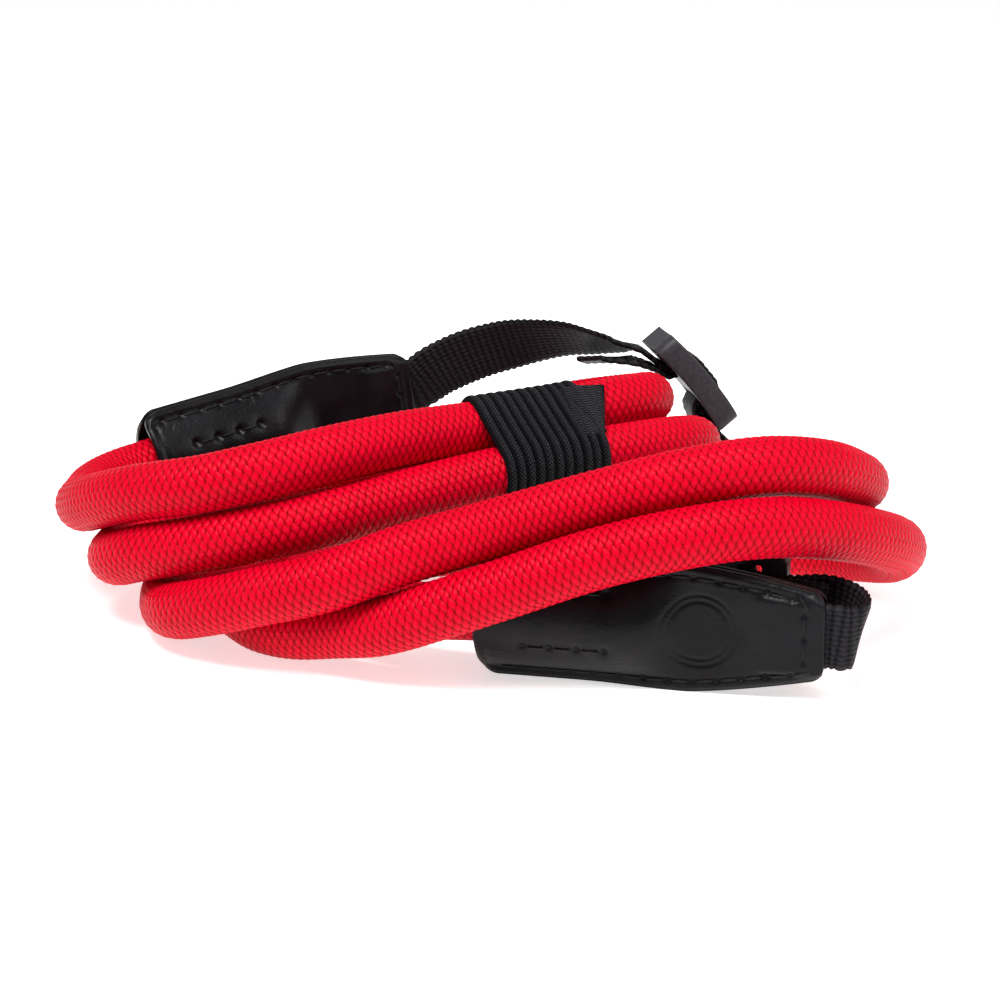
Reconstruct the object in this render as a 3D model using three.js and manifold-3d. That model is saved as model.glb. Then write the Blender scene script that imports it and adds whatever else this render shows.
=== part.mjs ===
// Coiled camera strap: one braided rope in a flat-lying coil, a leather tab on each end, and a short
// webbing lug strap with a triglide buckle on each tab. Millimetres, +Z up, +X right, -Y to the viewer.
import * as THREE from 'three';
import { mergeVertices } from 'three/addons/utils/BufferGeometryUtils.js';
import Module from 'manifold-3d';

const manifold = await Module();
manifold.setup();

// Driving sizes
const ropeDiameter = 9.8;
const leatherThickness = 1.4;
const tabLength = 56.5;
const tabMouthWidth = 20.6;
const tabWidestWidth = 21.8;
const tabEndWidth = 14.6;
const ropeInTab = 25.5;
const webbingWidth = 11;
const webbingThickness = 1.2;
const webbingInTab = 7.5;
const buckleLength = 21;
const buckleWidth = 16.5;
const buckleThickness = 4.6;
const buckleBarThickness = 1.8;
const buckleCorner = 1.6;
const buckleBar = 4.2;
const buckleSlot = 4;
const lugLoopRadius = 4.5;
const lugLoopReach = 25;
const whippingWall = 1.1;
const gap = 0.3;

// Where the middle of the whole object stands in the points below, and how far they are lifted
const middle = new THREE.Vector3(-3.02, 48.56, -0.15);

const vector = (x, y, z) => new THREE.Vector3(x, y, z);

// The rope's middle line, from inside the back tab, round the coil four and a half times, into the
// front tab. Chosen by eye along the rope as it lies: x, y, z.
const ropePoints = [
  [-45.5, 86.4, 19.4], [-56, 80.4, 17.8], [-67, 74, 16],
  [-71.6, 70.8, 15.3], [-75.3, 64.5, 14.9], [-76, 55, 15.2], [-74.5, 45, 17.5], [-69.5, 35.5, 21.4],
  [-61, 27, 25.6], [-50, 22, 28.6], [-40, 21.5, 31], [-29, 25.5, 32.6], [-17, 33.2, 33], [-3, 43.2, 32.3],
  [10, 50.8, 32.3], [20, 56.4, 32.8], [26.5, 63.5, 32], [27.5, 72.5, 29.6], [23.8, 81, 27], [15, 87, 24.2],
  [2, 89.7, 20.6], [-12, 87.5, 17.6], [-27, 80.5, 15.3], [-41, 72.3, 14.9],
  [-53.5, 62, 14], [-62.6, 51.8, 12.1], [-67.5, 42, 10.4], [-66.9, 33, 11.7], [-60.8, 26, 15.1],
  [-51, 21.4, 18.1], [-41, 19.8, 20.6],
  [-31, 21.2, 22.4], [-19, 26.3, 24], [-5, 32.8, 25.6], [10, 39.2, 27.2], [23, 45.2, 27.6],
  [32, 53, 26.6], [36, 62, 24], [33.8, 72.5, 20.3], [25, 81, 15.5], [10, 84, 10.5], [-6, 81.3, 6.3],
  [-20, 77, 5], [-34, 72, 5], [-45.5, 64, 5], [-54, 52, 5], [-58, 39.5, 5], [-57.6, 28, 5],
  [-54.6, 19.3, 7], [-48, 13, 10.1], [-40, 8.7, 13.3], [-28, 4.8, 17.4], [-16, 4.9, 21.9], [0, 6.7, 26.1],
  [16, 6, 31], [29, 5.5, 34.6], [42, 8.2, 35.9], [53, 15.2, 33.4], [60.5, 26, 28],
  [62.3, 37, 23.7], [59, 48, 19.8], [51, 57, 16.3], [40, 64, 13.2], [26, 68.3, 9.5], [11, 69.5, 6.3],
  [-4, 68.3, 5], [-18, 66, 5], [-31, 61, 5], [-41.5, 52, 5], [-47.2, 40, 5], [-46, 28, 5],
  [-40.5, 18.5, 5], [-34.5, 13.2, 5.8], [-27, 8.8, 7.7], [-19.5, 4.6, 9.8], [-10, 0.8, 14], [0, -1, 18.1],
  [15.8, -2.7, 24.2], [31.6, -1.8, 27.6], [42, 1.6, 27.7], [53, 8.7, 25], [62.5, 18.5, 20.3],
  [68.8, 30, 14.8], [69.5, 41.5, 9], [63.5, 51.5, 5.8], [52, 57, 5], [36, 58.4, 5],
  [18, 58.3, 5], [1, 57.4, 5], [-14, 55.2, 5], [-26, 50.5, 5], [-33.8, 42.5, 5],
  [-35, 33, 5], [-30.5, 24.8, 5], [-22, 18.6, 6.7], [-11.5, 12.8, 9.4], [-3, 10.3, 10.2], [9, 7.3, 10.4],
  [21, 4.4, 10.6],
];

// Placements: a tab runs from its mouth to its webbing end and stands on edge
const frontTab = placement(vector(-3, 10.2, 10.2), vector(54.2, -13.2, 0.9), vector(0, 0, 1));
const backTab = placement(vector(-67, 74, 16), vector(48.4, 28, 7.7), vector(0, 0, 1));
// A buckle's first axis runs along its webbing and its second across it
const frontBuckle = placement(vector(38, 17, 11), vector(-0.97, 0.25, 0), vector(0, 0, 1));
const backBuckle = placement(vector(37.7, 90, 29.3), vector(0.634, 0, -0.773), vector(0, 1, -0.25));

function placement(origin, along, across) {
  const first = along.clone().normalize();
  const second = across.clone().addScaledVector(first, -across.dot(first)).normalize();
  return new THREE.Matrix4().makeBasis(first, second, first.clone().cross(second)).setPosition(origin);
}

// A closed mesh out of corner points and triangles
function solid(points, faces) {
  const geometry = new THREE.BufferGeometry();
  const numbers = points.flatMap((p) => [p.x, p.y, p.z]);
  geometry.setAttribute('position', new THREE.Float32BufferAttribute(numbers, 3));
  geometry.setIndex(faces.flat());
  return geometry;
}

// Skin between rings of equal count, closed at both ends by a fan
function loft(rings) {
  const count = rings[0].length;
  const faces = [];
  rings.slice(1).forEach((ring, row) => {
    for (let i = 0; i < count; i += 1) {
      const a = row * count + i;
      const b = row * count + ((i + 1) % count);
      faces.push([a, b, a + count], [b, b + count, a + count]);
    }
  });
  const last = (rings.length - 1) * count;
  for (let i = 1; i < count - 1; i += 1) {
    faces.push([0, i + 1, i], [last, last + i, last + i + 1]);
  }
  return solid(rings.flat(), faces);
}

// The braided rope
function buildRope() {
  const line = new THREE.CatmullRomCurve3(ropePoints.map((p) => vector(...p)));
  const section = new THREE.Shape();
  section.absarc(0, 0, ropeDiameter / 2, 0, Math.PI * 2);
  const options = { steps: 168, curveSegments: 5, extrudePath: line, bevelEnabled: false };
  const geometry = new THREE.ExtrudeGeometry(section, options);
  geometry.deleteAttribute('normal');
  geometry.deleteAttribute('uv');
  return mergeVertices(geometry, 1e-3);
}

// Half width of a tab along its length; shares of the length and of the width named in each row
const tabOutline = [
  { along: 0, width: tabMouthWidth, share: 0.8 },
  { along: 0.02, width: tabMouthWidth, share: 0.93 },
  { along: 0.06, width: tabMouthWidth, share: 1 },
  { along: 0.2, width: tabMouthWidth, share: 1 },
  { along: 0.34, width: tabMouthWidth, share: 1.01 },
  { along: 0.45, width: tabWidestWidth, share: 0.98 },
  { along: 0.485, width: tabWidestWidth, share: 0.985 },
  { along: 0.52, width: tabWidestWidth, share: 0.99 },
  { along: 0.555, width: tabWidestWidth, share: 0.995 },
  { along: 0.6, width: tabWidestWidth, share: 1 },
  { along: 0.66, width: tabWidestWidth, share: 1 },
  { along: 0.7, width: tabWidestWidth, share: 0.97 },
  { along: 0.855, width: tabWidestWidth, share: 0.79 },
  { along: 0.87, width: tabEndWidth, share: 1.16 },
  { along: 0.965, width: tabEndWidth, share: 1 },
  { along: 0.99, width: tabEndWidth, share: 0.9 },
  { along: 1, width: tabEndWidth, share: 0.77 },
];

// How far a tab's leather stands off its middle plane: round over the rope, open for the webbing
function tabStandoff(along, across, grow) {
  const distance = along * tabLength;
  const flat = gap / 2 + grow;
  const reach = ropeDiameter * 0.88 + grow;
  const height = ropeDiameter / 2 + 0.6 + grow;
  const round = height * Math.max(0, 1 - (across / reach) ** 2);
  const fade = THREE.MathUtils.smoothstep(distance, ropeInTab - 1, ropeInTab + 11);
  const overRope = THREE.MathUtils.lerp(Math.max(flat, round), flat, fade);
  const nearEnd = distance > tabLength - webbingInTab - gap - 0.5;
  const inSlot = nearEnd && Math.abs(across) < webbingWidth / 2 + 0.9;
  return inSlot ? Math.max(overRope, webbingThickness / 2 + gap + 0.1 + grow) : overRope;
}

// Lines along a tab, from its middle outwards, as shares of the webbing's width
const tabLines = [0, 0.2, 0.36, 0.475, 0.555, 0.69];

// Distances across a tab from edge to edge; the outer two lines on each side follow the edge
function tabColumns(half) {
  const shoulder = Math.max(half * 0.82, webbingWidth * 0.735);
  const lines = [...tabLines.map((share) => share * webbingWidth), shoulder, half];
  const last = lines.length - 1;
  const steps = lines.map((line, rank) => Math.min(line, half * (1 - 0.04 * (last - rank))));
  return [...steps.slice(1).reverse(), ...steps.map((step) => -step)];
}

// One leather layer; side is 1 for the layer towards the viewer and -1 for the other
function buildLeather(place, side) {
  const points = [];
  [leatherThickness, 0].forEach((grow) => {
    tabOutline.forEach((row) => {
      tabColumns((row.width * row.share) / 2).forEach((across) => {
        const away = tabStandoff(row.along, across, grow) * side;
        points.push(vector(row.along * tabLength, across, away).applyMatrix4(place));
      });
    });
  });
  return sheet(points, tabOutline.length, tabLines.length * 2 + 3, side < 0);
}

// Closed sheet out of two grids of points, the top one first
function sheet(points, rows, columns, mirrored) {
  const faces = [];
  const under = rows * columns;
  const quad = (a, b, c, d) => faces.push([a, b, c], [a, c, d]);
  for (let i = 0; i < rows - 1; i += 1) {
    for (let k = 0; k < columns - 1; k += 1) {
      const a = i * columns + k;
      quad(a, a + 1, a + columns + 1, a + columns);
      quad(under + a, under + a + columns, under + a + columns + 1, under + a + 1);
    }
  }
  const wall = (a, b) => quad(a, under + a, under + b, b);
  for (let k = 0; k < columns - 1; k += 1) {
    wall(k, k + 1);
    wall((rows - 1) * columns + k + 1, (rows - 1) * columns + k);
  }
  for (let i = 0; i < rows - 1; i += 1) {
    wall((i + 1) * columns, i * columns);
    wall(i * columns + columns - 1, (i + 1) * columns + columns - 1);
  }
  return solid(points, mirrored ? faces.map(([a, b, c]) => [a, c, b]) : faces);
}

// The cord binding round the coil's two upper passes: a flat loop of wall around both
const whippingStations = [
  { upper: [-3.4, 42.95, 32.3], lower: [-1.4, 34.6, 26.1] },
  { upper: [1.2, 45.8, 32.25], lower: [3.3, 36.5, 26.7] },
  { upper: [5.8, 48.4, 32.25], lower: [8, 38.4, 27.1] },
  { upper: [10, 50.8, 32.3], lower: [12.5, 40.3, 27.4] },
  { upper: [13.6, 52.7, 32.5], lower: [16.4, 42.1, 27.5] },
];

function whippingRings(radius) {
  const middles = whippingStations.map(({ upper, lower }) => vector(...upper).lerp(vector(...lower), 0.5));
  return whippingStations.map((station, row) => {
    const before = middles[Math.max(row - 1, 0)];
    const after = middles[Math.min(row + 1, middles.length - 1)];
    const forward = after.clone().sub(before).normalize();
    const upper = vector(...station.upper);
    const lower = vector(...station.lower);
    const up = upper.clone().sub(lower);
    up.addScaledVector(forward, -up.dot(forward)).normalize();
    const side = forward.clone().cross(up);
    const ring = [];
    for (let i = 0; i < 16; i += 1) {
      const angle = ((i + 0.5) / 16) * Math.PI * 2;
      const centre = Math.sin(angle) > 0 ? upper : lower;
      const point = centre.clone().addScaledVector(side, Math.cos(angle) * radius);
      ring.push(point.addScaledVector(up, Math.sin(angle) * radius));
    }
    return ring;
  });
}

function buildWhipping() {
  const inner = whippingRings(ropeDiameter / 2 + gap + 0.25);
  const outer = whippingRings(ropeDiameter / 2 + gap + whippingWall);
  const sections = inner.map((ring, row) => ({ ring, around: outer[row] }));
  const count = inner[0].length;
  const points = sections.flatMap(({ ring, around }) => [...ring, ...around]);
  const faces = [];
  const quad = (a, b, c, d) => faces.push([a, c, b], [a, d, c]);
  sections.forEach((section, row) => {
    const base = row * count * 2;
    for (let i = 0; i < count; i += 1) {
      const j = (i + 1) % count;
      const [a, b, c, d] = [base + i, base + j, base + count + i, base + count + j];
      if (row === 0) {
        quad(a, b, d, c);
      }
      if (row === sections.length - 1) {
        quad(b, a, c, d);
        continue;
      }
      const step = count * 2;
      quad(b, a, a + step, b + step);
      quad(c, d, d + step, c + step);
    }
  });
  return solid(points, faces);
}

// Webbing stations on a buckle: along and off its middle plane, in its own axes, for both passes.
// The strand from the tab and the returning tail share both slots, one over the other.
const slotMiddle = buckleBar / 2 + gap + webbingThickness / 2;
const layer = webbingThickness + gap;
const overBar = buckleBarThickness - buckleThickness / 2 + gap + webbingThickness / 2;
const underFrame = -(buckleThickness + webbingThickness) / 2 - gap;
const lugMiddle = underFrame - layer / 2;

function buckleStations(drop) {
  const outer = slotMiddle + layer;
  const rise = overBar + layer;
  const outerPass = [
    { along: -buckleLength / 2 - 1, off: underFrame - drop },
    { along: -outer - 1.6, off: underFrame - 0.1 },
    { along: -outer - 0.2, off: underFrame + 0.9 },
    { along: -outer, off: 0 },
    { along: -outer, off: overBar - 0.1 },
    { along: 1.1 - outer, off: rise + 0.3 },
    { along: 0, off: rise + 0.6 },
    { along: outer - 1.1, off: rise + 0.3 },
    { along: outer, off: overBar - 0.1 },
    { along: outer, off: 0 },
    { along: outer + 0.2, off: underFrame + 0.9 },
    { along: outer + 1.6, off: underFrame - 0.1 },
    { along: buckleLength / 2 + 1, off: underFrame - 0.1 },
    { along: lugLoopReach * 0.7, off: underFrame + 0.9 },
  ];
  const lug = [];
  for (let i = 0; i <= 8; i += 1) {
    const angle = Math.PI / 2 - (i / 8) * Math.PI;
    const along = lugLoopReach + Math.cos(angle) * lugLoopRadius;
    lug.push({ along, off: lugMiddle + Math.sin(angle) * lugLoopRadius });
  }
  const returning = [
    { along: lugLoopReach * 0.7, off: underFrame - layer - 0.9 },
    { along: buckleLength / 2 + 1, off: underFrame - layer - 0.2 },
    { along: outer + 2.2, off: underFrame - layer - 0.2 },
    { along: slotMiddle + 0.9, off: underFrame - 0.5 },
    { along: slotMiddle, off: 0 },
    { along: slotMiddle + 0.05, off: overBar - 0.6 },
    { along: slotMiddle - 0.8, off: overBar + 0.3 },
    { along: 0.8 - slotMiddle, off: overBar + 0.3 },
    { along: -slotMiddle - 0.05, off: overBar - 0.6 },
    { along: -slotMiddle, off: 0 },
    { along: -slotMiddle - 0.9, off: underFrame - 0.5 },
    { along: -outer - 2.2, off: underFrame - layer - 0.2 },
    { along: 0.6 * drop - buckleLength / 2 - 1, off: underFrame - layer - 0.3 - 1.5 * drop },
  ];
  return [...outerPass, ...lug, ...returning];
}

// A ribbon through stations, each with its middle and the direction across its width
function buildRibbon(stations) {
  const middles = stations.map((station) => station.at);
  const rings = stations.map((station, row) => {
    const before = middles[Math.max(row - 1, 0)];
    const after = middles[Math.min(row + 1, middles.length - 1)];
    const forward = after.clone().sub(before).normalize();
    const across = station.across.clone().addScaledVector(forward, -station.across.dot(forward)).normalize();
    const off = forward.clone().cross(across);
    return [[1, 1], [-1, 1], [-1, -1], [1, -1]].map(([u, v]) => station.at.clone()
      .addScaledVector(across, (u * webbingWidth) / 2)
      .addScaledVector(off, (v * webbingThickness) / 2));
  });
  return loft(rings);
}

function tabWebbingStart(place) {
  const across = vector(0, 1, 0).transformDirection(place);
  return [tabLength - webbingInTab, tabLength + 1].map((along) => {
    const at = vector(along, 0, 0).applyMatrix4(place);
    return { at, across: across.clone() };
  });
}

function throughBuckle(place, sign, drop) {
  const across = vector(0, sign, 0).transformDirection(place);
  return buckleStations(drop).map(({ along, off }) => {
    const at = vector(along, 0, off).applyMatrix4(place);
    return { at, across: across.clone() };
  });
}

const freeStation = (row) => ({ at: vector(...row.at), across: vector(...row.across) });

// The front strand folds back behind its tab; the tail lies between them
const frontStrand = [
  { at: [55.2, -3.7, 10.9], across: [0.1, 0, 1] },
  { at: [57, -2.6, 11], across: [0.22, 0, 1] },
  { at: [57.6, 0.2, 11.2], across: [0.3, 0, 0.95] },
  { at: [57.3, 4, 11.3], across: [0.3, 0, 0.95] },
  { at: [56, 7.6, 11.3], across: [0.18, 0, 1] },
  { at: [53, 10.4, 11.2], across: [0.06, 0, 1] },
];
const frontTail = [
  { at: [53.5, 6.6, 11], across: [0, 0, 1] },
];
// The back strand bows up from its tab and turns flat before its buckle; the tail runs under it
const backStrand = [
  { at: [-12.6, 102.7, 27.2], across: [0, -0.05, 1] },
  { at: [-6, 101.4, 30.6], across: [0, -0.09, 1] },
  { at: [1, 100, 33], across: [0, -0.24, 0.97] },
  { at: [7.4, 98, 34.6], across: [0, -0.51, 0.86] },
  { at: [13, 95.8, 35.5], across: [0, -0.68, 0.73] },
  { at: [18.5, 93, 35.6], across: [0, -0.82, 0.57] },
  { at: [22.6, 91, 35.5], across: [0, -0.9, 0.42] },
];
const backTail = [
  { at: [20.8, 90.6, 32.5], across: [0, -0.95, 0.31] },
  { at: [16, 91.6, 32.1], across: [0, -0.95, 0.31] },
];

function buildWebbing(tab, buckle, strand, tail, sign, drop) {
  return buildRibbon([
    ...tabWebbingStart(tab), ...strand.map(freeStation),
    ...throughBuckle(buckle, sign, drop), ...tail.map(freeStation),
  ]);
}

// A triglide: a flat plastic frame with a bar between two slots
function buildBuckle(place) {
  const { CrossSection } = manifold;
  const [x, y] = [buckleLength / 2, buckleWidth / 2];
  const outline = [
    [buckleCorner - x, -y], [x - buckleCorner, -y], [x, buckleCorner - y], [x, y - buckleCorner],
    [x - buckleCorner, y], [buckleCorner - x, y], [-x, y - buckleCorner], [-x, buckleCorner - y],
  ];
  const slot = CrossSection.square([buckleSlot, webbingWidth + 1.2], true);
  const offset = (buckleBar + buckleSlot) / 2;
  const slots = slot.translate([offset, 0]).add(slot.translate([-offset, 0]));
  const frame = new CrossSection([outline]).subtract(slots);
  const block = frame.extrude(buckleThickness).translate([0, 0, -buckleThickness / 2]);
  const recess = manifold.Manifold.cube([buckleBar + 1, webbingWidth + 1.2, buckleThickness], true)
    .translate([0, 0, buckleBarThickness]);
  const mesh = block.subtract(recess).getMesh();
  const geometry = new THREE.BufferGeometry();
  geometry.setAttribute('position', new THREE.BufferAttribute(new Float32Array(mesh.vertProperties), 3));
  geometry.setIndex(new THREE.BufferAttribute(new Uint32Array(mesh.triVerts), 1));
  return geometry.applyMatrix4(place);
}

const materials = {
  rope: new THREE.MeshStandardMaterial({ color: 0xb8142c, roughness: 0.8 }),
  leather: new THREE.MeshStandardMaterial({ color: 0x17161a, roughness: 0.5 }),
  webbing: new THREE.MeshStandardMaterial({ color: 0x1c1b1f, roughness: 0.9 }),
  plastic: new THREE.MeshStandardMaterial({ color: 0x141418, roughness: 0.4 }),
};

const strap = new THREE.Group();
strap.name = 'coiled_camera_strap';

function add(name, geometry, material) {
  geometry.translate(-middle.x, -middle.y, -middle.z);
  geometry.computeVertexNormals();
  const mesh = new THREE.Mesh(geometry, materials[material]);
  mesh.name = name;
  strap.add(mesh);
}

add('rope', buildRope(), 'rope');
add('front_tab_outer', buildLeather(frontTab, 1), 'leather');
add('front_tab_inner', buildLeather(frontTab, -1), 'leather');
add('back_tab_outer', buildLeather(backTab, 1), 'leather');
add('back_tab_inner', buildLeather(backTab, -1), 'leather');
add('whipping', buildWhipping(), 'webbing');
add('front_webbing', buildWebbing(frontTab, frontBuckle, frontStrand, frontTail, 1, 0.4), 'webbing');
add('back_webbing', buildWebbing(backTab, backBuckle, backStrand, backTail, -1, 1.6), 'webbing');
add('front_buckle', buildBuckle(frontBuckle), 'plastic');
add('back_buckle', buildBuckle(backBuckle), 'plastic');

export default strap;
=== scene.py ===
"""Dress the coiled camera strap: braided rope, leather tabs, webbing, buckles and whipping."""

import logging
import math
from dataclasses import dataclass, field
from enum import Enum

import bpy
import numpy as np
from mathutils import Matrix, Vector


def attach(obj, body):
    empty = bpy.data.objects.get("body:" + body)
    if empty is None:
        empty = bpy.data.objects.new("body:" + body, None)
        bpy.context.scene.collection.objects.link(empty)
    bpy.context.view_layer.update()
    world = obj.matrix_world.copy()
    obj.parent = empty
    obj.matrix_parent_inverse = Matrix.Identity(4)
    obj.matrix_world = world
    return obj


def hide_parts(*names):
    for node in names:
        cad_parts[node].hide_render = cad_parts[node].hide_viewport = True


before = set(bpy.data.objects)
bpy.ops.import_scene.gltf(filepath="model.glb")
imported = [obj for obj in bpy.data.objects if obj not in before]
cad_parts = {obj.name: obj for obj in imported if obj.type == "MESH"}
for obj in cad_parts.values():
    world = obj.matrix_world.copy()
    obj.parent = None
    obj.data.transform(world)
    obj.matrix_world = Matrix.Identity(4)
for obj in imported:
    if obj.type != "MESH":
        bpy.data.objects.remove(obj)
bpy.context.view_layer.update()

MM = 0.001
MIDDLE = np.array([-3.02, 48.56, -0.15])
LOG = logging.getLogger("strap")

ROPE_POINTS = [
    (-45.5, 86.4, 19.4), (-56, 80.4, 17.8), (-67, 74, 16),
    (-71.6, 70.8, 15.3), (-75.3, 64.5, 14.9), (-76, 55, 15.2), (-74.5, 45, 17.5), (-69.5, 35.5, 21.4),
    (-61, 27, 25.6), (-50, 22, 28.6), (-40, 21.5, 31), (-29, 25.5, 32.6), (-17, 33.2, 33), (-3, 43.2, 32.3),
    (10, 50.8, 32.3), (20, 56.4, 32.8), (26.5, 63.5, 32), (27.5, 72.5, 29.6), (23.8, 81, 27), (15, 87, 24.2),
    (2, 89.7, 20.6), (-12, 87.5, 17.6), (-27, 80.5, 15.3), (-41, 72.3, 14.9),
    (-53.5, 62, 14), (-62.6, 51.8, 12.1), (-67.5, 42, 10.4), (-66.9, 33, 11.7), (-60.8, 26, 15.1),
    (-51, 21.4, 18.1), (-41, 19.8, 20.6),
    (-31, 21.2, 22.4), (-19, 26.3, 24), (-5, 32.8, 25.6), (10, 39.2, 27.2), (23, 45.2, 27.6),
    (32, 53, 26.6), (36, 62, 24), (33.8, 72.5, 20.3), (25, 81, 15.5), (10, 84, 10.5), (-6, 81.3, 6.3),
    (-20, 77, 5), (-34, 72, 5), (-45.5, 64, 5), (-54, 52, 5), (-58, 39.5, 5), (-57.6, 28, 5),
    (-54.6, 19.3, 7), (-48, 13, 10.1), (-40, 8.7, 13.3), (-28, 4.8, 17.4), (-16, 4.9, 21.9), (0, 6.7, 26.1),
    (16, 6, 31), (29, 5.5, 34.6), (42, 8.2, 35.9), (53, 15.2, 33.4), (60.5, 26, 28),
    (62.3, 37, 23.7), (59, 48, 19.8), (51, 57, 16.3), (40, 64, 13.2), (26, 68.3, 9.5), (11, 69.5, 6.3),
    (-4, 68.3, 5), (-18, 66, 5), (-31, 61, 5), (-41.5, 52, 5), (-47.2, 40, 5), (-46, 28, 5),
    (-40.5, 18.5, 5), (-34.5, 13.2, 5.8), (-27, 8.8, 7.7), (-19.5, 4.6, 9.8), (-10, 0.8, 14), (0, -1, 18.1),
    (15.8, -2.7, 24.2), (31.6, -1.8, 27.6), (42, 1.6, 27.7), (53, 8.7, 25), (62.5, 18.5, 20.3),
    (68.8, 30, 14.8), (69.5, 41.5, 9), (63.5, 51.5, 5.8), (52, 57, 5), (36, 58.4, 5),
    (18, 58.3, 5), (1, 57.4, 5), (-14, 55.2, 5), (-26, 50.5, 5), (-33.8, 42.5, 5),
    (-35, 33, 5), (-30.5, 24.8, 5), (-22, 18.6, 6.7), (-11.5, 12.8, 9.4), (-3, 10.3, 10.2), (9, 7.3, 10.4),
    (21, 4.4, 10.6),
]


def smooth_line(points: list, step: float) -> tuple[np.ndarray, float]:
    """Resample a centripetal Catmull-Rom line evenly.

    Args:
        points: Points that the line passes through, in millimetres.
        step: Wanted distance between the samples, in millimetres.

    Returns:
        The samples, and the length of the line.
    """
    p = np.asarray(points, float)
    fine = []
    for i in range(len(p) - 1):
        p1, p2 = p[i], p[i + 1]
        p0 = p[i - 1] if i else 2 * p1 - p2
        p3 = p[i + 2] if i + 2 < len(p) else 2 * p2 - p1
        d0, d1, d2 = (max(np.linalg.norm(b - a) ** 0.5, 1e-4) for a, b in ((p0, p1), (p1, p2), (p2, p3)))
        t1 = ((p1 - p0) / d0 - (p2 - p0) / (d0 + d1) + (p2 - p1) / d1) * d1
        t2 = ((p2 - p1) / d1 - (p3 - p1) / (d1 + d2) + (p3 - p2) / d2) * d1
        t = np.linspace(0, 1, 24, endpoint=False)[:, None]
        fine.append(p1 + t1 * t + (3 * (p2 - p1) - 2 * t1 - t2) * t**2 + (2 * (p1 - p2) + t1 + t2) * t**3)
    line = np.vstack([*fine, p[-1:]])
    run = np.r_[0, np.cumsum(np.linalg.norm(np.diff(line, axis=0), axis=1))]
    at = np.linspace(0, run[-1], max(2, int(round(run[-1] / step)) + 1))
    return np.stack([np.interp(at, run, line[:, k]) for k in range(3)], 1), float(run[-1])


def steady_frames(line: np.ndarray) -> tuple[np.ndarray, np.ndarray]:
    """Carry two cross directions along a line without twist.

    Args:
        line: Evenly spaced samples.

    Returns:
        The two directions at each sample.
    """
    tangents = np.gradient(line, axis=0)
    tangents /= np.linalg.norm(tangents, axis=1, keepdims=True)
    first = np.zeros_like(line)
    current = np.cross(tangents[0], (0, 0, 1.0))
    for i, tangent in enumerate(tangents):
        current = current - tangent * current.dot(tangent)
        current /= np.linalg.norm(current)
        first[i] = current
    return first, np.cross(tangents, first)


def grid_piece(name: str, grid: np.ndarray, uv: np.ndarray, material: bpy.types.Material) -> bpy.types.Object:
    """Make a smooth closed piece out of rings of points, in millimetres before the middle is taken off.

    Args:
        name: The piece's name.
        grid: Points by ring and place round it; the last place joins the first, and the ends are capped.
        uv: A pair of surface coordinates for each point, with one column more than the grid.
        material: The piece's finish.

    Returns:
        The new object, at the origin.
    """
    rows, columns = grid.shape[:2]
    i, k = np.meshgrid(np.arange(rows - 1), np.arange(columns), indexing="ij")
    ring, after = i * columns, (k + 1) % columns
    quads = np.stack([ring + k, ring + after, ring + columns + after, ring + columns + k], -1)
    faces = quads.reshape(-1, 4).tolist()
    corners = np.stack([uv[i, k], uv[i, k + 1], uv[i + 1, k + 1], uv[i + 1, k]], -2).reshape(-1, 2)
    faces.append(list(range(columns))[::-1])
    faces.append(list(range((rows - 1) * columns, rows * columns)))
    corners = np.vstack([corners, np.tile(uv[0, 0], (columns, 1)), np.tile(uv[-1, 0], (columns, 1))])
    mesh = bpy.data.meshes.new(name)
    mesh.from_pydata(((grid.reshape(-1, 3) - MIDDLE) * MM).tolist(), [], faces)
    mesh.uv_layers.new(name="surface").data.foreach_set("uv", corners.astype(np.float32).ravel())
    mesh.polygons.foreach_set("use_smooth", [True] * len(mesh.polygons))
    mesh.materials.append(material)
    piece = bpy.data.objects.new(name, mesh)
    bpy.context.scene.collection.objects.link(piece)
    return piece


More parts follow.
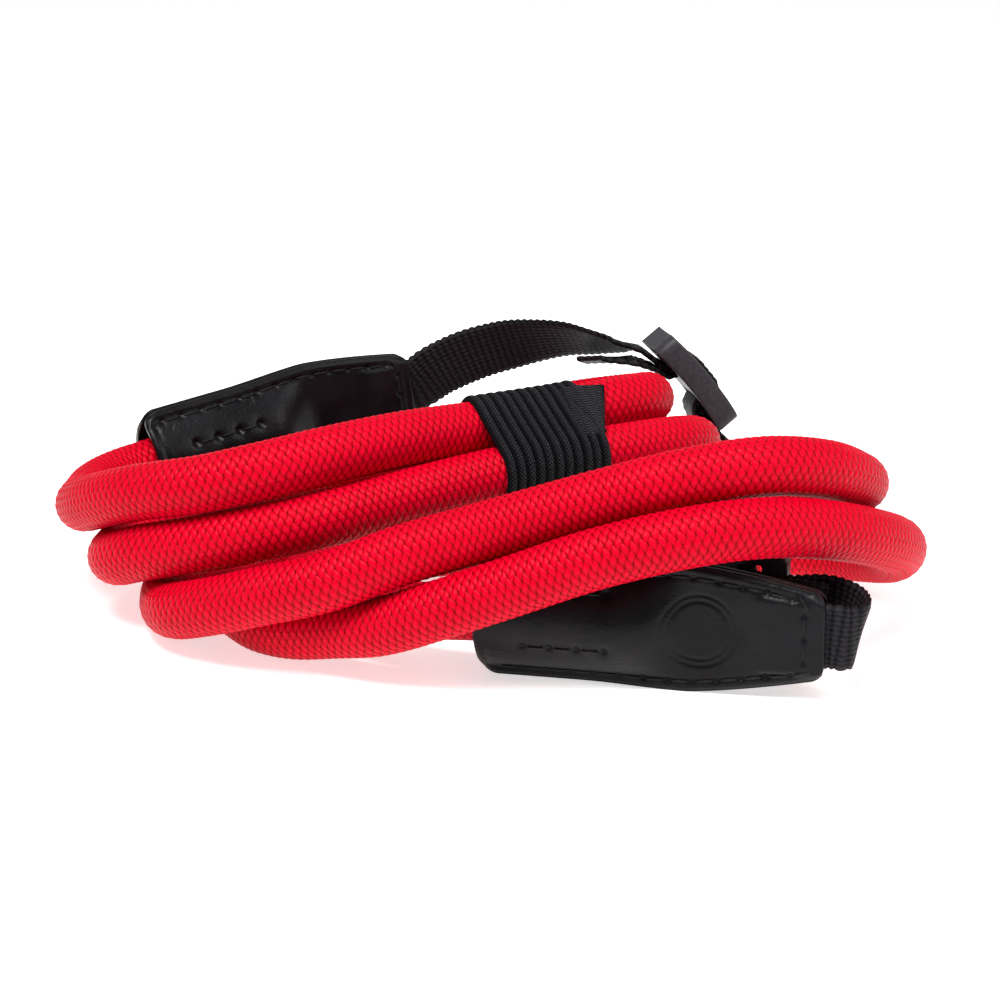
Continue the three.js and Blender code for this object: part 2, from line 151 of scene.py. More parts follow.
class Nodes:
    """A short hand for one node tree of a material."""

    def __init__(self, name: str) -> None:
        """Start a material with an empty tree."""
        self.material = bpy.data.materials.new(name)
        self.material.use_nodes = True
        self.tree = self.material.node_tree
        self.shader = self.tree.nodes["Principled BSDF"]

    def add(self, kind: str, inputs: dict | None = None, **settings) -> bpy.types.Node:
        """Add a node.

        Args:
            kind: The node's type.
            inputs: Values or sockets by input name or number.
            settings: Attributes of the node.

        Returns:
            The node.
        """
        node = self.tree.nodes.new(kind)
        for key, value in settings.items():
            setattr(node, key, value)
        for key, value in (inputs or {}).items():
            self.put(node.inputs[key], value)
        return node

    def put(self, socket: bpy.types.NodeSocket, value: object) -> None:
        """Set a socket's value, or link another socket to it."""
        if isinstance(value, bpy.types.NodeSocket):
            self.tree.links.new(value, socket)
        else:
            socket.default_value = value

    def math(self, operation: str, *values: object) -> bpy.types.NodeSocket:
        """Chain one arithmetic step and return its result."""
        return self.add("ShaderNodeMath", dict(enumerate(values)), operation=operation).outputs[0]

    def ridge(self, value: object, factor: float) -> bpy.types.NodeSocket:
        """Return the sine of a value times a factor, without its sign."""
        return self.math("ABSOLUTE", self.math("SINE", self.math("MULTIPLY", value, factor)))

    def swing(self, value: object, size: float) -> bpy.types.NodeSocket:
        """Return a value from 0 to 1 as one around 0, of the given size."""
        return self.math("MULTIPLY", self.math("SUBTRACT", value, 0.5), size)

    def surface(self) -> tuple[bpy.types.NodeSocket, bpy.types.NodeSocket]:
        """Return the two surface coordinates of the piece."""
        uv = self.add("ShaderNodeUVMap", uv_map="surface")
        split = self.add("ShaderNodeSeparateXYZ", {0: uv.outputs[0]})
        return split.outputs[0], split.outputs[1]

    def noise(self, scale: float, detail: float = 3.0, vector: object = None) -> bpy.types.NodeSocket:
        """Return noise over the piece.

        Args:
            scale: Cycles per metre, or per unit of the vector where one is given.
            detail: How many finer octaves it has.
            vector: Where to read it, in place of the piece's own coordinates.

        Returns:
            The noise, from 0 to 1.
        """
        place = vector or self.add("ShaderNodeTexCoord").outputs["Object"]
        node = self.add("ShaderNodeTexNoise", {"Vector": place, "Scale": scale, "Detail": detail})
        return node.outputs["Fac"]

    def ramp(self, factor: object, *stops: tuple) -> bpy.types.NodeSocket:
        """Return a colour that follows a factor.

        Args:
            factor: What the colour follows.
            stops: Pairs of a position and its colour, in order.

        Returns:
            The colour.
        """
        node = self.add("ShaderNodeValToRGB", {"Fac": factor})
        elements = node.color_ramp.elements
        while len(elements) < len(stops):
            elements.new(0.5)
        for element, (position, colour) in zip(elements, stops):
            element.position = position
            element.color = (*colour, 1)
        return node.outputs["Color"]

    def bump(self, height: object, distance: float, strength: float = 1.0, normal: object = None) -> object:
        """Return a normal raised by a height.

        Args:
            height: The height, from 0 to 1.
            distance: How far 1 stands out, in metres.
            strength: Share of the effect.
            normal: The normal to start from, if not the surface's own.

        Returns:
            The normal.
        """
        inputs = {"Height": height, "Distance": distance, "Strength": strength}
        if normal:
            inputs["Normal"] = normal
        return self.add("ShaderNodeBump", inputs).outputs["Normal"]


@dataclass(frozen=True)
class BraidFinish:
    """Braided sheath: scale-like floats in columns, each leaning against its neighbours; painted shade in the
    gaps, painted highlight on the tops.
    """

    # The darkest colour is painted shade in the gaps between floats and the lightest a painted highlight on
    # the float tops; the middle one is the rope's red.
    deep: tuple = (0.15, 0.0, 0.002)
    body: tuple = (0.42, 0.0, 0.008)
    painted_highlight: tuple = (0.66, 0.0, 0.02)
    roughness: float = 0.42
    specular: float = 0.05
    lean: float = 0.4
    fullness: float = 1.25
    float_relief: float = 0.28
    fibre_relief: float = 0.1

    def floats(self, nodes: Nodes, along: object, around: object, shift: float, lean: float) -> object:
        """Build one of the two sets of floats.

        Args:
            nodes: The tree to build in.
            along: Pitches along the rope.
            around: Columns round the rope.
            shift: Where the set starts, in floats.
            lean: How far a float slants over its width.

        Returns:
            The height, from 0 to 1.
        """
        column = nodes.math("ADD", nodes.math("MULTIPLY", around, 0.5), shift)
        across = nodes.math("SUBTRACT", nodes.math("FRACT", column), 0.5)
        row = nodes.math("ADD", nodes.math("ADD", along, shift), nodes.math("MULTIPLY", across, lean))
        off = nodes.math("SUBTRACT", nodes.math("FRACT", row), 0.5)
        wide, high = (
            nodes.math("POWER", nodes.math("ABSOLUTE", nodes.math("DIVIDE", part, 0.5)), self.fullness)
            for part in (across, off)
        )
        dome = nodes.math("SUBTRACT", nodes.math("SUBTRACT", 1.0, wide), high)
        return nodes.math("POWER", nodes.math("MAXIMUM", dome, 0.0), 0.5)

    def make(self, columns: int) -> bpy.types.Material:
        """Build the braid; surface coordinates are pitches along and turns around.

        Args:
            columns: Number of columns of floats round the rope.

        Returns:
            The material.
        """
        nodes = Nodes("braided_rope")
        along, around = nodes.surface()
        around = nodes.math("MULTIPLY", around, float(columns))
        even = self.floats(nodes, along, around, 0.0, self.lean)
        odd = self.floats(nodes, along, around, 0.5, -self.lean)
        height = nodes.math("MAXIMUM", even, odd)
        fibre_place = nodes.add("ShaderNodeCombineXYZ", {
            0: nodes.math("MULTIPLY", along, 9.0), 1: nodes.math("MULTIPLY", around, 1.3),
        })
        fibre = nodes.noise(1.0, 2.0, fibre_place.outputs[0])
        patch = nodes.noise(90.0, 2.0)
        tone = nodes.math("ADD", height, nodes.swing(fibre, 0.5))
        tone = nodes.math("ADD", tone, nodes.swing(patch, 0.25))
        # Painted shade and highlight: the colour follows the float height, dark in the gaps and light on the
        # tops, with random fibre and patch tone added.
        colour = nodes.ramp(tone, (0.05, self.deep), (0.5, self.body), (1.0, self.painted_highlight))
        nodes.put(nodes.shader.inputs["Base Color"], colour)
        nodes.shader.inputs["Roughness"].default_value = self.roughness
        nodes.shader.inputs["Specular IOR Level"].default_value = self.specular
        coarse = nodes.bump(height, self.float_relief * MM)
        nodes.put(nodes.shader.inputs["Normal"], nodes.bump(fibre, self.fibre_relief * MM, 0.6, coarse))
        return nodes.material


@dataclass(frozen=True)
class LeatherFinish:
    """Smooth black leather with fine grain, soft creases and a slight sheen."""

    colour: tuple = (0.003, 0.0027, 0.0035)
    worn: tuple = (0.008, 0.007, 0.0085)
    specular: float = 0.11
    smoothest: float = 0.26
    rougher: float = 0.2

    def make(self) -> bpy.types.Material:
        """Build the leather.

        Returns:
            The material.
        """
        nodes = Nodes("black_leather")
        cloud = nodes.noise(120.0, 4.0)
        place = nodes.add("ShaderNodeTexCoord").outputs["Object"]
        grain = nodes.add("ShaderNodeTexVoronoi", {"Vector": place, "Scale": 1500.0}).outputs["Distance"]
        folds = {"Vector": place, "Scale": 260.0, "Detail": 5.0, "Distortion": 1.2}
        crease = nodes.add("ShaderNodeTexNoise", folds)
        colour = nodes.ramp(cloud, (0.35, self.colour), (0.75, self.worn))
        nodes.put(nodes.shader.inputs["Base Color"], colour)
        rough = nodes.math("ADD", self.smoothest, nodes.math("MULTIPLY", cloud, self.rougher))
        nodes.put(nodes.shader.inputs["Roughness"], rough)
        nodes.shader.inputs["Specular IOR Level"].default_value = self.specular
        soft = nodes.bump(crease.outputs["Fac"], 0.25 * MM, 0.5)
        nodes.put(nodes.shader.inputs["Normal"], nodes.bump(grain, 0.06 * MM, 0.5, soft))
        return nodes.material


@dataclass(frozen=True)
class WebbingFinish:
    """Black woven webbing: cross ribs made of short slanting stitches; painted shade in the grooves, lighter
    on the raised threads.
    """

    # The dark colour is painted shade in the grooves and the lighter one the lit tone of the raised threads.
    deep: tuple = (0.0015, 0.0013, 0.0018)
    raised: tuple = (0.019, 0.017, 0.02)
    roughness: float = 0.5
    specular: float = 0.07
    relief: float = 0.3

    def make(self) -> bpy.types.Material:
        """Build the weave; surface coordinates are ribs along and threads across.

        Returns:
            The material.
        """
        nodes = Nodes("black_webbing")
        along, across = nodes.surface()
        slant = nodes.math("ADD", along, nodes.math("MULTIPLY", across, 0.5))
        rib, thread, dots = (nodes.ridge(value, math.pi) for value in (along, slant, across))
        weave = nodes.math("MULTIPLY", nodes.math("ADD", nodes.math("MULTIPLY", thread, 0.5), dots), 0.66)
        height = nodes.math("MULTIPLY", nodes.math("ADD", rib, weave), 0.5)
        tone = nodes.math("ADD", height, nodes.swing(nodes.noise(2500.0, 2.0), 0.5))
        # Painted shade: the colour follows the weave height, dark in the grooves and lighter on the raised
        # threads, with random tone added.
        colour = nodes.ramp(tone, (0.3, self.deep), (0.95, self.raised))
        nodes.put(nodes.shader.inputs["Base Color"], colour)
        nodes.shader.inputs["Roughness"].default_value = self.roughness
        nodes.shader.inputs["Specular IOR Level"].default_value = self.specular
        nodes.put(nodes.shader.inputs["Normal"], nodes.bump(height, self.relief * MM, 0.9))
        return nodes.material


@dataclass(frozen=True)
class CordFinish:
    """Soft black braided cord, with painted shade in the grooves between its turns and between its strands.
    """

    # The dark colour is painted shade in the grooves and the lighter one the lit tone of the turns.
    deep: tuple = (0.002, 0.002, 0.003)
    raised: tuple = (0.04, 0.038, 0.044)
    roughness: float = 0.65
    specular: float = 0.08
    relief: float = 0.3

    def make(self) -> bpy.types.Material:
        """Build the cord; surface coordinates are millimetres along and turns around.

        Returns:
            The material.
        """
        nodes = Nodes("whipping_cord")
        along, around = nodes.surface()
        run = nodes.math("MULTIPLY", along, 0.8)
        strand = nodes.math("MULTIPLY", around, 4.0)
        left, right = (nodes.ridge(nodes.math(way, run, strand), 2 * math.pi) for way in ("ADD", "SUBTRACT"))
        weave = nodes.math("MULTIPLY", left, right)
        fuzz = nodes.swing(nodes.noise(2600.0, 2.0), 0.9)
        # Painted shade: the tone is multiplied down towards the sides of each turn, where the turns meet, and
        # follows the strand weave, dark between strands.
        groove_shade = nodes.ridge(around, 2 * math.pi)
        tone = nodes.math("MULTIPLY", nodes.math("ADD", nodes.math("POWER", weave, 0.6), fuzz), groove_shade)
        colour = nodes.ramp(tone, (0.2, self.deep), (0.95, self.raised))
        nodes.put(nodes.shader.inputs["Base Color"], colour)
        nodes.shader.inputs["Roughness"].default_value = self.roughness
        nodes.shader.inputs["Specular IOR Level"].default_value = self.specular
        nodes.put(nodes.shader.inputs["Normal"], nodes.bump(weave, self.relief * MM))
        return nodes.material


@dataclass(frozen=True)
class PlainFinish:
    """One colour with its own fine grain, for the thread and the plastic."""

    name: str
    low: tuple
    high: tuple
    roughness: float
    scale: float
    depth: float
    specular: float = 0.14

    def make(self) -> bpy.types.Material:
        """Build the finish.

        Returns:
            The material.
        """
        nodes = Nodes(self.name)
        grain = nodes.noise(self.scale)
        colour = nodes.ramp(grain, (0.35, self.low), (0.7, self.high))
        nodes.put(nodes.shader.inputs["Base Color"], colour)
        nodes.shader.inputs["Roughness"].default_value = self.roughness
        nodes.shader.inputs["Specular IOR Level"].default_value = self.specular
        nodes.put(nodes.shader.inputs["Normal"], nodes.bump(grain, self.depth * MM, 0.7))
        return nodes.material


THREAD_FINISH = PlainFinish(
    "sewing_thread", (0.003, 0.003, 0.004), (0.012, 0.012, 0.013), roughness=0.5, scale=3000.0, depth=0.05
)
PLASTIC_FINISH = PlainFinish(
    "satin_plastic", (0.028, 0.026, 0.03), (0.04, 0.038, 0.043), roughness=0.4, scale=1400.0, depth=0.03
)


class Side(Enum):
    """The two layers of a tab, by the side of its middle plane."""

    OUTER = 1
    INNER = -1


@dataclass(frozen=True)
class Place:
    """Where a piece stands: an origin and three directions."""

    origin: tuple
    along: tuple
    across: tuple

    def axes(self) -> tuple[np.ndarray, np.ndarray, np.ndarray]:
        """Work out the three directions.

        Returns:
            The unit directions along, across and away.
        """
        first = np.array(self.along, float)
        first /= np.linalg.norm(first)
        second = np.array(self.across, float)
        second -= first * second.dot(first)
        second /= np.linalg.norm(second)
        return first, second, np.cross(first, second)

    def point(self, along: object, across: object, away: object) -> np.ndarray:
        """Turn local distances into points.

        Args:
            along: Distances along the first direction.
            across: Distances along the second.
            away: Distances along the third.

        Returns:
            The points.
        """
        offsets = zip((along, across, away), self.axes())
        parts = [np.asarray(value, float)[..., None] * axis for value, axis in offsets]
        return np.array(self.origin, float) + parts[0] + parts[1] + parts[2]


FRONT_TAB = Place((-3, 10.2, 10.2), (54.2, -13.2, 0.9), (0, 0, 1))
BACK_TAB = Place((-67, 74, 16), (48.4, 28, 7.7), (0, 0, 1))
FRONT_BUCKLE = Place((38, 17, 11), (-0.97, 0.25, 0), (0, 0, 1))
BACK_BUCKLE = Place((37.7, 90, 29.3), (0.634, 0, -0.773), (0, 1, -0.25))


def finished(piece: bpy.types.Object, slot: str, *nodes: str) -> bpy.types.Object:
    """Ride a piece on the strap and hide the solids that it stands for.

    Args:
        piece: The piece.
        slot: Its material slot; not used.
        nodes: The solids that it replaces.

    Returns:
        The same piece.
    """
    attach(piece, "root")
    if nodes:
        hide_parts(*nodes)
    LOG.info("%s: %d faces", piece.name, len(piece.data.polygons))
    return piece


def smoothstep(value: np.ndarray, low: float, high: float) -> np.ndarray:
    """Ease from 0 at low to 1 at high."""
    t = np.clip((value - low) / (high - low), 0, 1)
    return t * t * (3 - 2 * t)


@dataclass
class Rope:
    """The one long rope, with its braid standing out of its surface."""

    diameter: float = 9.8
    columns: int = 22
    pitch: float = 1.4
    relief: float = 0.1
    around: int = 44
    finish: BraidFinish = field(default_factory=BraidFinish)

    def build(self) -> bpy.types.Object:
        """Returns:
            The rope.
        """
        line, length = smooth_line(ROPE_POINTS, self.pitch / 2)
        first, second = steady_frames(line)
        angle = np.arange(self.around) * 2 * math.pi / self.around
        column, groove = np.divmod(np.arange(self.around), 2)
        raised = (np.arange(len(line))[:, None] + column[None]) % 2 == 0
        radius = self.diameter / 2 + self.relief * (np.where(raised & (groove == 0), 1.0, 0.0) - 0.5)
        grid = line[:, None] + radius[..., None] * (
            np.cos(angle)[None, :, None] * first[:, None] + np.sin(angle)[None, :, None] * second[:, None]
        )
        across = np.arange(self.around + 1) / self.around
        run = np.arange(len(line)) * length / (len(line) - 1) / self.pitch
        uv = np.stack(np.broadcast_arrays(run[:, None], across[None]), -1)
        rope = grid_piece("braided_rope", grid, uv, self.finish.make(self.columns))
        finished(rope, "rope", "rope")
        return rope


@dataclass
class LeatherTab:
    """Two leather layers sewn round a rope end and a webbing end."""

    name: str
    place: Place
    length: float = 56.5
    mouth_half: float = 10.3
    widest_half: float = 10.9
    end_half: float = 7.3
    thickness: float = 1.4
    rope_radius: float = 4.9
    rope_in: float = 25.5
    stamped: bool = False
    row_shift: float = 0.0
    stamp_at: float = 36.4
    stamp_radius: float = 6.05
    first_hole: float = 8.1
    hole_step: float = 4.5
    row_offset: float = 4.6
    hole_depth: float = 0.8
    dimple_depth: float = 0.22
    seam_inset: float = 1.9
    seam_step: float = 4.0
    seam_start: float = 3.2
    seam_depth: float = 0.14
    pressed: float = 0.45
    stamp_depth: float = 0.26
    stitch_length: float = 3.3
    stitch_radius: float = 0.24
    half_gap: float = 0.15
    slot_start: float = 13
    slot_full: float = 8
    slot_half: float = 5.6
    slot_end: float = 7.3
    slot_rise: float = 0.75
    rows: int = 190
    columns: int = 84

    def half_width(self, along: np.ndarray) -> np.ndarray:
        """Work out half the tab's width, with its taper and its round corners.

        Args:
            along: Distances from the tab's mouth.

        Returns:
            The half widths there.
        """
        share = along / self.length
        half = self.mouth_half + (self.widest_half - self.mouth_half) * smoothstep(share, 0.3, 0.6)
        taper = np.clip((share - 0.6) / 0.4, 0, 1) ** 1.35
        half = half + (self.end_half - self.half_gap - half) * taper
        for distance, corner in ((along, 3.0), (self.length - along, 2.0)):
            inside = np.clip(corner - distance, 0, corner)
            half = half - (corner - np.sqrt(np.maximum(corner**2 - inside**2, 0)))
        return half

    def standoff(self, along: np.ndarray, across: np.ndarray, grow: float) -> np.ndarray:
        """Work out how far a surface stands off the tab's middle plane.

        Args:
            along: Distances from the tab's mouth.
            across: Distances from its middle line.
            grow: How far the surface lies outside the layer's inner face.

        Returns:
            The distances: a bulge over the rope, flat beyond it, and a low rise over the webbing.
        """
        flat = self.half_gap + grow
        reach = self.rope_radius * 1.76 + grow
        height = self.rope_radius + 0.6 + grow
        bulge = height * np.clip(1 - (across / reach) ** 2, 0, 1)
        bulge = flat + np.logaddexp(0, (bulge - flat) / 0.3) * 0.3
        fade = smoothstep(along, self.rope_in - 1, self.rope_in + 11)
        shape = bulge * (1 - fade) + flat * fade
        slot = smoothstep(along, self.length - self.slot_start, self.length - self.slot_full)
        slot = slot * (1 - smoothstep(np.abs(across), self.slot_half, self.slot_end))
        return np.maximum(shape, flat + self.slot_rise * slot)

    def holes(self) -> list[tuple[float, float]]:
        """Return the places of the holes of the two short rows that hold the rope."""
        rows = [self.row_shift + side * self.row_offset for side in (1, -1)]
        return [(self.first_hole + self.hole_step * k, row) for k in range(4) for row in rows]

    def relief(self, along: np.ndarray, across: np.ndarray, half: np.ndarray, side: Side) -> np.ndarray:
        """Work out how deep a layer is pressed in: holes, seam, plain ring stamp and rounded edge.

        Args:
            along: Distances from the tab's mouth.
            across: Distances from its middle line.
            half: Half the tab's width there.
            side: Which layer it is.

        Returns:
            The depths.
        """
        depth = np.zeros_like(across)
        for at, off in self.holes():
            reach = np.hypot(along - at, across - off)
            depth += self.hole_depth * np.exp(-((reach / 0.62) ** 2))
            depth += self.dimple_depth * np.exp(-((reach / 1.7) ** 2))
        for at, off in self.seam(0.0)[:, :2]:
            depth += self.pressed * np.exp(-(((along - at) ** 2 + (across - off) ** 2) / 0.45**2))
        edge = np.minimum(np.minimum(half - np.abs(across), along + 0.3), self.length - along + 0.3)
        depth += self.seam_depth * np.exp(-(((edge - self.seam_inset) / 0.45) ** 2)) * (edge < 6)
        if self.stamped and side is Side.OUTER:
            radius = np.hypot(along - self.stamp_at, across)
            for ring in (self.stamp_radius, self.stamp_radius * 0.83):
                depth += self.stamp_depth * np.exp(-(((radius - ring) / 0.3) ** 2))
        return depth + self.pressed * (1 - smoothstep(edge, 0, 0.9))

    def layer(self, side: Side, material: bpy.types.Material) -> bpy.types.Object:
        """Build one leather layer as closed rings of points around its thickness.

        Args:
            side: Which layer it is.
            material: The leather.

        Returns:
            The layer.
        """
        along = self.length * (0.5 - 0.5 * np.cos(np.linspace(0, math.pi, self.rows)))
        along = 0.35 * along + 0.65 * np.linspace(0, self.length, self.rows)
        share = np.linspace(-1, 1, self.columns)
        share = np.sign(share) * (1 - (1 - np.abs(share)) ** 1.15)
        half = self.half_width(along)[:, None] * np.ones_like(share)[None]
        across = half * share[None]
        run = along[:, None] * np.ones_like(share)[None]
        sign = side.value
        top = self.standoff(run, across, self.thickness) - self.relief(run, across * sign, half, side)
        low = self.standoff(run, across, 0.0)
        top = np.maximum(top, low + 0.2)
        upper = self.place.point(run, across * sign, top * sign)
        lower = self.place.point(run, across * sign, low * sign)
        grid = np.concatenate([upper, lower[:, ::-1]], 1)
        flat = np.stack([run, across], -1)
        uv = np.concatenate([flat, flat[:, ::-1], flat[:, :1]], 1)
        return grid_piece(f"{self.name}_{side.name.lower()}_leather", grid[:, ::-1], uv[:, ::-1], material)

    def seam(self, shift: float) -> np.ndarray:
        """Return points and directions along the edge seam, as local rows.

        Args:
            shift: Share of a step from each hole: 0 for the holes, 0.5 for the stitches between them.

        Returns:
            A row for each place: its two distances, and the direction there.
        """
        run = np.linspace(self.seam_start, self.length - self.seam_start, 400)
        side = np.stack([run, self.half_width(run) - self.seam_inset], 1)
        low = side[::-1] * (1, -1)
        end = np.linspace(side[-1], low[0], 40)[1:-1]
        line = np.vstack([side, end, low])
        travel = np.r_[0, np.cumsum(np.linalg.norm(np.diff(line, axis=0), axis=1))]
        count = int(travel[-1] / self.seam_step)
        at = (np.arange(count) + shift) * travel[-1] / count
        point = np.stack([np.interp(at, travel, line[:, k]) for k in range(2)], 1)
        ahead = np.stack([np.interp(at + 0.2, travel, line[:, k]) for k in range(2)], 1)
        return np.hstack([point, ahead - point])

    def stitches(self, side: Side, material: bpy.types.Material) -> bpy.types.Object:
        """Sew the edge seam and the two short rows of one layer.

        Args:
            side: Which layer it is.
            material: The thread.

        Returns:
            The stitches, as one piece.
        """
        inner = [(at + self.hole_step / 2, off, 1.0, 0.0) for at, off in self.holes()[:-2]]
        rows = np.vstack([self.seam(0.5), np.array(inner)])
        along, across = rows[:, 0], rows[:, 1]
        half = self.half_width(along)
        top = self.standoff(along, across, self.thickness) - self.relief(along, across, half, side) + 0.1
        first, second, _ = self.place.axes()
        points = self.place.point(along, across, top * side.value)
        lay = rows[:, 2:3] * first + rows[:, 3:4] * second
        name = f"{self.name}_{side.name.lower()}_stitches"
        return StitchTree(name, self.stitch_length, self.stitch_radius).sew(points, lay, material)

    def build(self, leather: bpy.types.Material, thread: bpy.types.Material) -> None:
        """Build both layers and their stitches.

        Args:
            leather: The layers' finish.
            thread: The stitches' finish.
        """
        for side in Side:
            finished(self.layer(side, leather), "leather", f"{self.name}_{side.name.lower()}")
            finished(self.stitches(side, thread), "leather")


@dataclass
class StitchTree:
    """A node tree that lays one short stitch along a direction at each point."""

    name: str
    length: float
    radius: float

    def tree(self, material: bpy.types.Material) -> bpy.types.GeometryNodeTree:
        """Build the tree, with the stitch's length and radius as inputs.

        Args:
            material: The thread.

        Returns:
            The tree.
        """
        tree = bpy.data.node_groups.new(self.name, "GeometryNodeTree")
        face = tree.interface
        face.new_socket("Geometry", in_out="INPUT", socket_type="NodeSocketGeometry")
        face.new_socket("Stitch Length", in_out="INPUT", socket_type="NodeSocketFloat")
        face.new_socket("Stitch Radius", in_out="INPUT", socket_type="NodeSocketFloat")
        face.new_socket("Geometry", in_out="OUTPUT", socket_type="NodeSocketGeometry")
        add, link = tree.nodes.new, tree.links.new
        start, end = add("NodeGroupInput"), add("NodeGroupOutput")
        ball = add("GeometryNodeMeshUVSphere")
        ball.inputs["Segments"].default_value = 8
        ball.inputs["Rings"].default_value = 6
        ball.inputs["Radius"].default_value = 1.0
        half = add("ShaderNodeMath")
        half.operation = "MULTIPLY"
        half.inputs[1].default_value = 0.5
        link(start.outputs["Stitch Length"], half.inputs[0])
        size = add("ShaderNodeCombineXYZ")
        link(half.outputs[0], size.inputs[0])
        link(start.outputs["Stitch Radius"], size.inputs[1])
        link(start.outputs["Stitch Radius"], size.inputs[2])
        shape = add("GeometryNodeTransform")
        link(ball.outputs["Mesh"], shape.inputs["Geometry"])
        link(size.outputs[0], shape.inputs["Scale"])
        lay = add("GeometryNodeInputNamedAttribute")
        lay.data_type = "FLOAT_VECTOR"
        lay.inputs["Name"].default_value = "lay"
        turn = add("FunctionNodeAlignRotationToVector")
        turn.axis = "X"
        link(lay.outputs["Attribute"], turn.inputs["Vector"])
        spread = add("GeometryNodeInstanceOnPoints")
        link(start.outputs["Geometry"], spread.inputs["Points"])
        link(shape.outputs["Geometry"], spread.inputs["Instance"])
        link(turn.outputs["Rotation"], spread.inputs["Rotation"])
        real = add("GeometryNodeRealizeInstances")
        link(spread.outputs[0], real.inputs[0])
        paint = add("GeometryNodeSetMaterial")
        paint.inputs["Material"].default_value = material
        link(real.outputs[0], paint.inputs[0])
        link(paint.outputs[0], end.inputs[0])
        return tree

    def sew(self, points: np.ndarray, lay: np.ndarray, material: bpy.types.Material) -> bpy.types.Object:
        """Turn points and directions into one plain mesh of stitches.

        Args:
            points: The middle of each stitch.
            lay: The direction of each stitch.
            material: The thread.

        Returns:
            The stitches.
        """
        mesh = bpy.data.meshes.new(self.name)
        mesh.from_pydata(((points - MIDDLE) * MM).tolist(), [], [])
        directions = mesh.attributes.new("lay", "FLOAT_VECTOR", "POINT")
        directions.data.foreach_set("vector", lay.astype(np.float32).ravel())
        return converted(self.name, mesh, self.tree(material), (self.length * MM, self.radius * MM))


def converted(
    name: str, mesh: bpy.types.Mesh, tree: bpy.types.GeometryNodeTree, values: tuple
) -> bpy.types.Object:
    """Run a node tree on a mesh and keep the result as a plain mesh.

    Args:
        name: The piece's name.
        mesh: What the tree starts from.
        tree: The tree.
        values: Its number inputs, in order.

    Returns:
        The new object, without a modifier.
    """
    holder = bpy.data.objects.new(name, mesh)
    bpy.context.scene.collection.objects.link(holder)
    modifier = holder.modifiers.new("shape", "NODES")
    modifier.node_group = tree
    inputs = [item for item in tree.interface.items_tree if item.in_out == "INPUT"]
    sockets = [item for item in inputs if item.socket_type == "NodeSocketFloat"]
    for socket, value in zip(sockets, values):
        modifier[socket.identifier] = value
    bpy.context.view_layer.update()
    graph = bpy.context.evaluated_depsgraph_get()
    result = bpy.data.meshes.new_from_object(holder.evaluated_get(graph))
    holder.modifiers.clear()
    holder.data = result
    result.polygons.foreach_set("use_smooth", [True] * len(result.polygons))
    return holder


@dataclass
class Whipping:
    """Eleven tight turns of cord round the two upper passes of the coil."""

    turns: int = 11
    end_margin: float = 1.05
    cord_thick: float = 0.7
    cord_sides: int = 12
    overlap: float = 1.03
    proud: float = 0.36
    rope_radius: float = 4.9
    per_turn: int = 48
    stations: tuple = (
        ((-6.2, 41.2, 32.4), (-1.8, 34.4, 26)),
        ((1.2, 45.8, 32.25), (3.3, 36.5, 26.7)),
        ((5.8, 48.4, 32.25), (8, 38.4, 27.1)),
        ((10, 50.8, 32.3), (12.5, 40.3, 27.4)),
        ((14.2, 53, 32.55), (18.3, 43, 27.6)),
    )

    def winding(self) -> tuple[np.ndarray, np.ndarray, np.ndarray]:
        """Lead the cord round the two passes, starting behind them.

        Returns:
            The cord's middle line, and the directions outwards and along the ropes.
        """
        upper = np.array([s[0] for s in self.stations], float)
        lower = np.array([s[1] for s in self.stations], float)
        count = self.turns * self.per_turn
        sides = []
        for path in (upper, lower):
            run = np.r_[0, np.cumsum(np.linalg.norm(np.diff(path, axis=0), axis=1))]
            at = np.linspace(self.end_margin, run[-1] - self.end_margin, count + 1)
            sides.append(np.stack([np.interp(at, run, path[:, k]) for k in range(3)], 1))
        high, low = sides
        forward = np.gradient((high + low) / 2, axis=0)
        forward /= np.linalg.norm(forward, axis=1, keepdims=True)
        up = high - low
        up -= forward * (up * forward).sum(1, keepdims=True)
        up /= np.linalg.norm(up, axis=1, keepdims=True)
        side = np.cross(forward, up)
        angle = math.pi + np.arange(count + 1) * 2 * math.pi / self.per_turn
        out = np.cos(angle)[:, None] * side + np.sin(angle)[:, None] * up
        radius = self.rope_radius + self.proud
        centre = np.where(np.sin(angle)[:, None] > 0, high, low)
        return centre + radius * out, out, forward

    def build(self) -> bpy.types.Object:
        """Wind the cord and dress it; its width follows the distance to the turns beside it.

        Returns:
            The whipping.
        """
        line, out, forward = self.winding()
        turn = self.per_turn
        apart = np.linalg.norm(line[turn:] - line[:-turn], axis=1)
        wide = self.overlap / 4 * (np.r_[apart, apart[-turn:]] + np.r_[apart[:turn], apart])
        angle = np.arange(self.cord_sides) * 2 * math.pi / self.cord_sides
        grid = line[:, None] + self.cord_thick * np.sin(angle)[None, :, None] * out[:, None]
        grid = grid + wide[:, None, None] * np.cos(angle)[None, :, None] * forward[:, None]
        travel = np.r_[0, np.cumsum(np.linalg.norm(np.diff(line, axis=0), axis=1))]
        around = np.arange(self.cord_sides + 1) / self.cord_sides
        uv = np.stack(np.broadcast_arrays(travel[:, None], around[None]), -1)
        piece = grid_piece("whipping_cord", grid[:, ::-1], uv, CordFinish().make())
        return finished(piece, "cord", "whipping")


